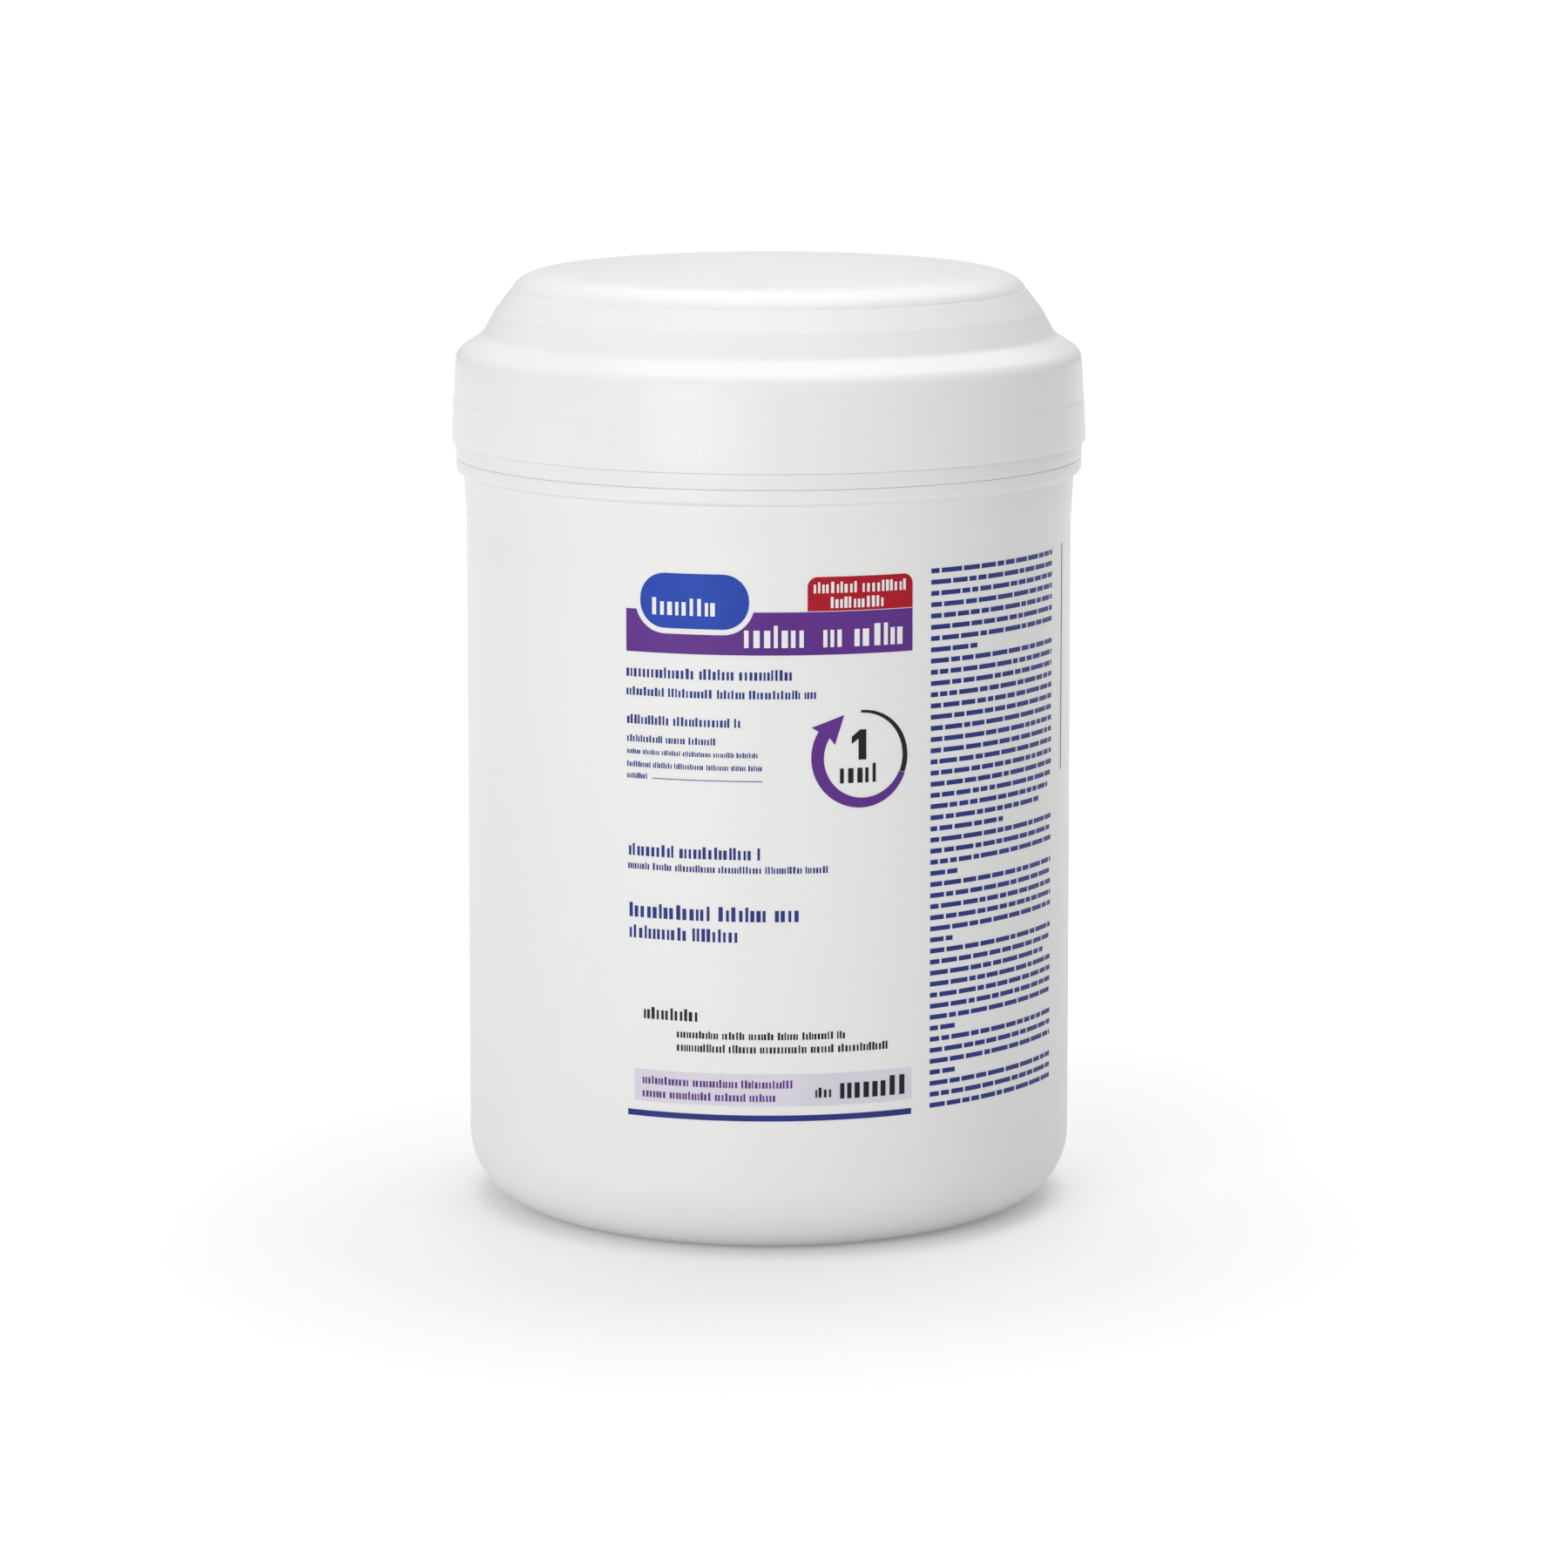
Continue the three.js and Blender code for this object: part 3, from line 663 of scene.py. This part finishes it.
def text_block(name, lines, seed, dashes=False):
    """Lines of text as rows of small bars, each a stroke of a word, or a whole word where dashes is set.

    Each line is (left, right, foot, height).
    """
    dice = random.Random(seed)
    boxes = []
    for left, right, foot, height in lines:
        row = []
        at = left
        while at < right - height * 0.4:
            strokes = 1 if dashes else dice.randint(7, 16)
            for _ in range(strokes):
                width = height * (dice.uniform(1.6, 5.5) if dashes else dice.uniform(0.17, 0.3))
                if at + width > right and not dashes:
                    break
                tall = height * (1 if dice.random() < 0.3 or dashes else 0.78)
                row.append((at, min(at + width, right), foot, foot + tall))
                at += width + height * dice.uniform(0.12, 0.26)
            at += height * 0.4
        boxes.append(row)
    columns = max(len(row) for row in boxes)
    across_cells = 2 * columns - 1
    up_cells = 2 * len(boxes) - 1
    deselect()
    bpy.ops.mesh.primitive_grid_add(x_subdivisions=across_cells, y_subdivisions=up_cells, size=1)
    piece = named(name)
    for face in piece.data.polygons:
        column = int((face.center.x + 0.5) * across_cells)
        line = int((face.center.y + 0.5) * up_cells)
        gap = column % 2 or line % 2 or column // 2 >= len(boxes[line // 2])
        face.select = bool(gap)
    only(piece)
    bpy.context.tool_settings.mesh_select_mode = (False, False, True)
    bpy.ops.object.mode_set(mode="EDIT")
    bpy.ops.mesh.delete(type="FACE")
    bpy.ops.object.mode_set(mode="OBJECT")
    bpy.context.tool_settings.mesh_select_mode = (True, False, False)

    def letter(x, y, z):
        column = round((x + 0.5) * across_cells)
        line = round((y + 0.5) * up_cells)
        left, right, foot, top = boxes[line // 2][column // 2]
        return (right if column % 2 else left, top if line % 2 else foot, 0)

    reshape(piece, letter)
    return piece


# Materials

def linear(colour):
    """An sRGB hex colour as linear RGBA."""
    values = [int(colour[i:i + 2], 16) / 255 for i in (0, 2, 4)]
    return [v / 12.92 if v <= 0.04045 else ((v + 0.055) / 1.055) ** 2.4 for v in values] + [1]


def add_node(material, kind, inputs=None, **settings):
    """Adds a shader node with its settings, its inputs given as values or as other nodes' sockets."""
    tree = material.node_tree
    node = tree.nodes.new(kind)
    for key, value in settings.items():
        setattr(node, key, value)
    for key, value in (inputs or {}).items():
        if isinstance(value, bpy.types.NodeSocket):
            tree.links.new(value, node.inputs[key])
        else:
            node.inputs[key].default_value = value
    return node


def surface(name, colours, scale, roughness, stretch=(1, 1, 1), bumps=(), sockets=None):
    """A finish whose colour and roughness drift slowly, with bumps given as (scale, stretch, height in mm).

    A scale is 1000 over the pattern's size in millimetres, so 40 is a drift of 25 mm.
    """
    material = bpy.data.materials.new(name)
    material.use_nodes = True
    links = material.node_tree.links
    shader = material.node_tree.nodes["Principled BSDF"]
    place = add_node(material, "ShaderNodeTexCoord").outputs["Object"]
    stretched = add_node(material, "ShaderNodeMapping", {"Vector": place, "Scale": stretch})
    drift = add_node(material, "ShaderNodeTexNoise", {
        "Vector": stretched.outputs["Vector"], "Scale": scale, "Detail": 3,
    })
    tint = add_node(material, "ShaderNodeValToRGB", {"Fac": drift.outputs["Fac"]})
    for element, position, colour in zip(tint.color_ramp.elements, (0.35, 0.65), colours):
        element.position = position
        element.color = linear(colour)
    links.new(tint.outputs["Color"], shader.inputs["Base Color"])
    polish = add_node(material, "ShaderNodeMapRange", {
        "Value": drift.outputs["Fac"],
        "From Min": 0.3, "From Max": 0.7, "To Min": roughness[0], "To Max": roughness[1],
    })
    links.new(polish.outputs["Result"], shader.inputs["Roughness"])
    normal = None
    for bump_scale, bump_stretch, height in bumps:
        mapped = add_node(material, "ShaderNodeMapping", {"Vector": place, "Scale": bump_stretch})
        grain = add_node(material, "ShaderNodeTexNoise", {
            "Vector": mapped.outputs["Vector"], "Scale": bump_scale, "Detail": 2,
        })
        bump = add_node(material, "ShaderNodeBump", {"Height": grain.outputs["Fac"], "Distance": height * MM})
        if normal:
            links.new(normal, bump.inputs["Normal"])
        normal = bump.outputs["Normal"]
    if normal:
        links.new(normal, shader.inputs["Normal"])
    for key, value in (sockets or {}).items():
        shader.inputs[key].default_value = value
    return material


def ink(name, colour, shade):
    """Ink screen-printed on the tub, a little uneven where it lies thinner."""
    return surface(
        name, (shade, colour), 90, (0.38, 0.46), bumps=[(2600, (1, 1, 1), 0.01)],
        sockets={"Specular IOR Level": 0.22},
    )


# Blow-moulded high-density polyethylene: a satin, milky white with faint upright flow lines 30 mm apart.
# The mould's grain is finer than a pixel, so it is drawn 0.45 mm coarse to show
tub_plastic = surface(
    "white polyethylene, blow moulded", ("eeeeed", "f1f1f0"), 22, (0.36, 0.46), stretch=(1, 1, 0.25),
    bumps=[(34, (1, 1, 0.3), 0.12), (2200, (1, 1, 1), 0.012)],
    sockets={"Subsurface Weight": 0.12, "Subsurface Radius": (1, 1, 1), "Subsurface Scale": 0.0015},
)
# Injection-moulded polypropylene: whiter and smoother than the tub, its eroded grain drawn 0.3 mm coarse
lid_plastic = surface(
    "white polypropylene, injection moulded", ("efefef", "f2f2f2"), 18, (0.32, 0.4),
    bumps=[(40, (1, 1, 1), 0.03), (3200, (1, 1, 1), 0.008)],
    sockets={"Subsurface Weight": 0.12, "Subsurface Radius": (1, 1, 1), "Subsurface Scale": 0.0015,
             "Specular IOR Level": 0.38},
)
# Closed-cell polyethylene foam, cut from sheet: pale and dull, with cells of 0.7 mm
seal_foam = surface(
    "pale foam sheet, die cut", ("dfe3e5", "e6e9ea"), 60, (0.75, 0.85), bumps=[(1500, (1, 1, 1), 0.08)],
)
# Spunlace nonwoven, damp with lotion: a soft wet white, with folds of 2.4 mm and fibres drawn 0.4 mm coarse
wet_wipes = surface(
    "white spunlace nonwoven, damp", ("ecedeb", "f6f6f4"), 130, (0.42, 0.58), stretch=(1, 1, 0.5),
    bumps=[(420, (1, 1, 0.35), 0.16), (2400, (1, 1, 1), 0.07)],
    sockets={"Subsurface Weight": 0.2, "Subsurface Radius": (1, 1, 1), "Subsurface Scale": 0.002,
             "Sheen Weight": 0.1, "Coat Weight": 0.12, "Coat Roughness": 0.25},
)
INKS = {
    "purple_ink": ink("purple ink, screen printed", "62308c", "5b2b85"),
    "blue_ink": ink("blue ink, screen printed", "2148b3", "1c41a8"),
    "red_ink": ink("red ink, screen printed", "b20f26", "a80b21"),
    "lavender_ink": ink("lavender ink, screen printed", "dfdce6", "dad7e2"),
    "navy_ink": ink("navy ink, screen printed", "2b3687", "26307c"),
    "white_ink": ink("white ink, screen printed", "f3f3f5", "eeeef0"),
    "black_ink": ink("near-black ink, screen printed", "1c1524", "17111e"),
    "grey_ink": ink("grey ink, screen printed", "83868b", "7b7e84"),
}


def dress(piece, material, body, slot, *nodes):
    """Gives a piece its finish and its body, and hides the CAD nodes that it stands for. The slot argument is
    not used.
    """
    piece.data.materials.clear()
    piece.data.materials.append(material)
    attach(piece, body)
    if nodes:
        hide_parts(*nodes)


dress(make_tub(), tub_plastic, "tub", "tub_plastic", "tub")
dress(make_lid_base(), lid_plastic, "lid", "lid_plastic", "lid_base")
dress(make_cover(), lid_plastic, "cover", "lid_plastic", "lid_cover")
dress(make_sealing_ring(), seal_foam, "seal", "seal_foam", "sealing_ring")
dress(make_roll(), wet_wipes, "tub", "wet_wipes", "wipes_roll")

web = make_hinge_web()
web.data.materials.append(lid_plastic)
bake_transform(web)


# The printed panel, its places read from the photograph as distance along the wall and height

def printed(piece, slot, *nodes, layer=0):
    dress(lay_on_wall(piece, layer), INKS[slot], "tub", slot, *nodes)


def lettering(name, slot, lines, seed, layer=0, dashes=False):
    printed(text_block(name, lines, seed, dashes), slot, layer=layer)


PRINT_LEFT = -29
PRINT_RIGHT = 29.6
PRINT_TOP = PANEL_TOP - 4
BADGE_LEFT = -25.9
BADGE_RIGHT = -3.7
BADGE_FOOT = PRINT_TOP - 10.9
BADGE_ROUND = 5.2
BAND_PRINT_FOOT = BADGE_FOOT - 5
BAND_PRINT_TOP = BAND_PRINT_FOOT + 8.5
TIMER = (18.9, BAND_PRINT_FOOT - 20.6, 9.1)
WHITE_EDGE = 1.1

badge_dip = (BADGE_LEFT, BADGE_RIGHT, BADGE_FOOT, BADGE_ROUND)
band_outline = band_with_notch(
    PRINT_LEFT, PRINT_RIGHT, BAND_PRINT_FOOT, BAND_PRINT_TOP, badge_dip, WHITE_EDGE,
)
badge_outline = panel(BADGE_LEFT, BADGE_RIGHT, BADGE_FOOT, PRINT_TOP, BADGE_ROUND, BADGE_ROUND)
tab_outline = panel(7.8, PRINT_RIGHT, BAND_PRINT_TOP + 0.15, PRINT_TOP - 0.5, 2)
timer_outline = ring_arrow(*TIMER, widths=(2.6, 1.3), start=149, end=338, wing=2.9, head=5.6)
timer_rest = ring_arc(*TIMER, widths=(1.1, 0.5), start=338.5, end=452)

printed(drawn("ink_band", band_outline), "purple_ink", "print_purple_band")
printed(drawn("ink_badge", badge_outline), "blue_ink", "print_blue_badge")
printed(drawn("ink_tab", tab_outline), "red_ink", "print_red_tab")
printed(drawn("ink_timer", timer_outline), "purple_ink", "print_timer_ring")
printed(drawn("ink_timer_rest", timer_rest), "black_ink")
printed(drawn("ink_box", panel(-27.5, PRINT_RIGHT, 31.6, 38)), "lavender_ink", "print_lavender_box")
printed(drawn("ink_rule", panel(PRINT_LEFT, PRINT_RIGHT, 28.5, 29.7)), "navy_ink", "print_blue_rule")

# Rows of bars for the words, each as left, right, foot and height
lettering("ink_words_badge", "white_ink", [(-23.3, -9.6, 129.6, 3.4)], 3, layer=2)
lettering("ink_words_tab", "white_ink", [(9, 28.4, 134.2, 2.2), (12.4, 25.3, 131.2, 2.2)], 4, layer=2)
lettering("ink_words_band", "white_ink", [
    (-4.7, 8.8, 123.5, 4.4), (10.9, 15.5, 123.5, 4.4), (17.2, 28.8, 123.5, 4.4),
], 5, layer=2)
lettering("ink_words_head", "navy_ink", [(-29, 4.9, 117, 2.1), (-29, 9.9, 113.3, 1.7)], 6)
lettering("ink_words_claims", "navy_ink", [
    (-28.9, -5.3, 107.6, 1.8),
    (-28.9, -10.4, 104, 1.4),
    (-28.9, -1.3, 101.6, 1.0),
    (-28.9, -1.1, 99, 1.1),
    (-28.9, -24, 96.7, 1.1),
], 7)
printed(drawn("ink_claims_rule", panel(-23.4, -1.1, 96.85, 97.0)), "navy_ink")
lettering("ink_words_middle", "navy_ink", [(-28.6, -0.8, 81.2, 2.4), (-28.8, 12.3, 78.5, 1.4)], 8)
lettering("ink_words_low", "navy_ink", [(-28.5, 6.7, 68.8, 2.9), (-28.5, -5.3, 64.6, 2.6)], 9)
lettering("ink_words_mark", "black_ink", [(-25.4, -13.4, 48.4, 2.4)], 10)
lettering("ink_words_small", "black_ink", [(-18.4, 15.7, 45, 1.5), (-18.4, 25.9, 42.3, 1.6)], 11)
lettering("ink_words_box", "purple_ink", [(-25.7, 6, 35.2, 1.6), (-25.7, 1.6, 32.5, 1.6)], 12, layer=2)
lettering("ink_words_box_end", "black_ink", [(9.4, 12.9, 33.2, 2), (14.4, 29, 32.8, 4)], 15, layer=2)
lettering("ink_words_timer", "black_ink", [(14.3, 23.3, 96.3, 3.8)], 13)
printed(drawn("ink_numeral", [
    (18.1, 100.9), (19.7, 100.9), (19.7, 106.9), (18.4, 106.9), (16.7, 105.5), (16.7, 104.1), (18.1, 105.1),
]), "black_ink")

# The narrow column of small print, its shorter lines given as a share of the column's width
COLUMN_LEFT = 33.9
COLUMN_RIGHT = 72.8
COLUMN_LINES = 49
COLUMN_TOP = 137.0
COLUMN_PITCH = 2.245
COLUMN_HEIGHT = 0.95
SHORT_LINES = {7: 0.3, 21: 0.95, 22: 0.84, 23: 0.5, 27: 0.17, 33: 0.14, 36: 0.9, 41: 0.17, 45: 0.17}
column = []
for i in range(COLUMN_LINES):
    reach = (COLUMN_RIGHT - COLUMN_LEFT) * SHORT_LINES.get(i, 1)
    column.append((COLUMN_LEFT, COLUMN_LEFT + reach, COLUMN_TOP - i * COLUMN_PITCH, COLUMN_HEIGHT))
lettering("ink_words_column", "navy_ink", column, 14, dashes=True)
printed(drawn("ink_upright_rule", panel(79.3, 79.8, 92, 138.4)), "grey_ink")


# Floor, light and camera

FLOOR_SIZE = 30

deselect()
bpy.ops.mesh.primitive_plane_add(size=FLOOR_SIZE)
floor = named("floor")
floor_paper = bpy.data.materials.new("white paper sweep")
floor_paper.use_nodes = True
paper = floor_paper.node_tree.nodes["Principled BSDF"]
paper.inputs["Base Color"].default_value = linear("e6e6e6")
paper.inputs["Roughness"].default_value = 1
paper.inputs["Specular IOR Level"].default_value = 0
paper.inputs["Emission Color"].default_value = linear("ffffff")
# The paper glows for the camera and for reflections only, so it turns pure white away from the object
# and keeps the shadow beside it
rays = add_node(floor_paper, "ShaderNodeLightPath")
spot = add_node(floor_paper, "ShaderNodeTexCoord")
away = add_node(floor_paper, "ShaderNodeVectorMath", {0: spot.outputs["Object"]}, operation="LENGTH")
glow = add_node(floor_paper, "ShaderNodeMapRange", {
    "Value": away.outputs["Value"], "From Min": 0.1, "From Max": 0.9, "To Min": 0.2, "To Max": 0.8,
})
direct = add_node(floor_paper, "ShaderNodeMath", {
    0: rays.outputs["Is Camera Ray"], 1: rays.outputs["Is Glossy Ray"],
}, operation="MAXIMUM")
seen = add_node(floor_paper, "ShaderNodeMath", {
    0: direct.outputs["Value"], 1: glow.outputs["Result"],
}, operation="MULTIPLY")
floor_paper.node_tree.links.new(seen.outputs["Value"], paper.inputs["Emission Strength"])
floor.data.materials.append(floor_paper)

world = bpy.data.worlds.new("studio")
bpy.context.scene.world = world
world.use_nodes = True
sky = world.node_tree.nodes["Background"]
sky.inputs["Color"].default_value = linear("ffffff")
sky.inputs["Strength"].default_value = 0.44


def soft_light(name, azimuth, elevation, distance, size, power):
    """A square area light, its azimuth from the front towards the right, aimed at the canister's middle."""
    target = Vector((0, 0, 0.1))
    direction = Vector((
        math.sin(math.radians(azimuth)) * math.cos(math.radians(elevation)),
        -math.cos(math.radians(azimuth)) * math.cos(math.radians(elevation)),
        math.sin(math.radians(elevation)),
    ))
    bpy.ops.object.light_add(type="AREA", location=target + direction * distance)
    lamp = bpy.context.object
    lamp.name = name
    lamp.rotation_euler = direction.to_track_quat("Z", "Y").to_euler()
    lamp.data.shape = "SQUARE"
    lamp.data.size = size
    lamp.data.energy = power


soft_light("key_light", azimuth=-27, elevation=12, distance=1.8, size=1.0, power=11.5)
soft_light("top_light", azimuth=0, elevation=89, distance=1.6, size=1.4, power=8.5)
soft_light("back_light", azimuth=165, elevation=60, distance=1.8, size=1.7, power=12)

# Solved from the ellipses of the lid's seams and the foot: 9.8 degrees down, 1.2 m in front
CAMERA_PLACE = (0.00314, -1.219, 0.2963)
CAMERA_TILT = math.radians(80.2)

bpy.ops.object.camera_add(location=CAMERA_PLACE, rotation=(CAMERA_TILT, 0, 0))
camera = bpy.context.object
camera.name = "photo_camera"
camera.data.lens = 137.1
camera.data.sensor_width = 36
bpy.context.scene.camera = camera
bpy.context.scene.view_settings.view_transform = "Standard"
